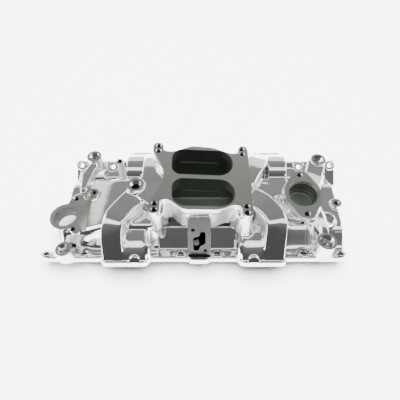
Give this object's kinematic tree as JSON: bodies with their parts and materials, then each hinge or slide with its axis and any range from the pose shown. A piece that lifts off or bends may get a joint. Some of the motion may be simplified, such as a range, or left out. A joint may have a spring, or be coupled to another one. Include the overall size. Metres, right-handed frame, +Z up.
{
  "type": "intake manifold",
  "caption": "Polished dual-plane intake manifold with a square carburettor flange, curved runners, inclined head flanges, thermostat housing and distributor seat.",
  "frame": {"origin": "on the base plane of the end rails, under the middle of the carburettor flange and midway between the two banks", "axes": "+X to the front of the engine (thermostat end), +Y to the driver's side, +Z up"},
  "size_m": [0.5284, 0.2466, 0.1198],
  "materials": {
    "polished_casting": "mirror-polished cast aluminium",
    "machined_face": "satin milled aluminium",
    "cast_interior": "dull as-cast aluminium"
  },
  "bodies": {
    "root": {"carb_flange_driver": "machined_face", "carb_flange_passenger": "machined_face", "carb_stud_ears": "machined_face", "carb_ear_columns": "polished_casting", "plenum_upper": "polished_casting", "plenum_lower": "polished_casting", "plenum_divider": "cast_interior", "lower_fork_rear": "cast_interior", "lower_fork_front": "cast_interior", "runner_1": "polished_casting", "runner_2": "polished_casting", "runner_3": "polished_casting", "runner_4": "polished_casting", "runner_5": "polished_casting", "runner_6": "polished_casting", "runner_7": "polished_casting", "runner_8": "polished_casting", "port_frame_1": "polished_casting", "port_frame_2": "polished_casting", "port_frame_3": "polished_casting", "port_frame_4": "polished_casting", "port_frame_5": "polished_casting", "port_frame_6": "polished_casting", "port_frame_7": "polished_casting", "port_frame_8": "polished_casting", "driver_flange_rear": "polished_casting", "driver_flange_centre": "polished_casting", "driver_flange_front": "polished_casting", "driver_flange_tip": "polished_casting", "passenger_flange_rear": "polished_casting", "passenger_flange_centre": "polished_casting", "passenger_flange_front": "polished_casting", "passenger_flange_tip": "polished_casting", "flange_bolt_bosses": "machined_face", "front_end_rail": "polished_casting", "rear_end_rail": "polished_casting", "rear_deck": "polished_casting", "front_deck": "polished_casting", "valley_floor": "polished_casting", "heat_crossover": "cast_interior", "choke_stove_pad": "machined_face", "thermostat_flange": "machined_face", "thermostat_housing": "polished_casting", "coolant_arm_driver": "polished_casting", "coolant_arm_passenger": "polished_casting", "distributor_tower": "machined_face", "vacuum_port_boss": "polished_casting", "rear_driver_water_boss": "polished_casting", "rear_passenger_water_boss": "polished_casting", "temperature_sender_boss": "polished_casting", "heater_outlet_boss": "polished_casting", "bypass_blank_boss": "polished_casting", "throttle_bracket_post": "polished_casting", "coil_bracket_boss": "polished_casting", "front_bracket_boss": "polished_casting", "rear_rib": "polished_casting"}
  },
  "joints": []
}
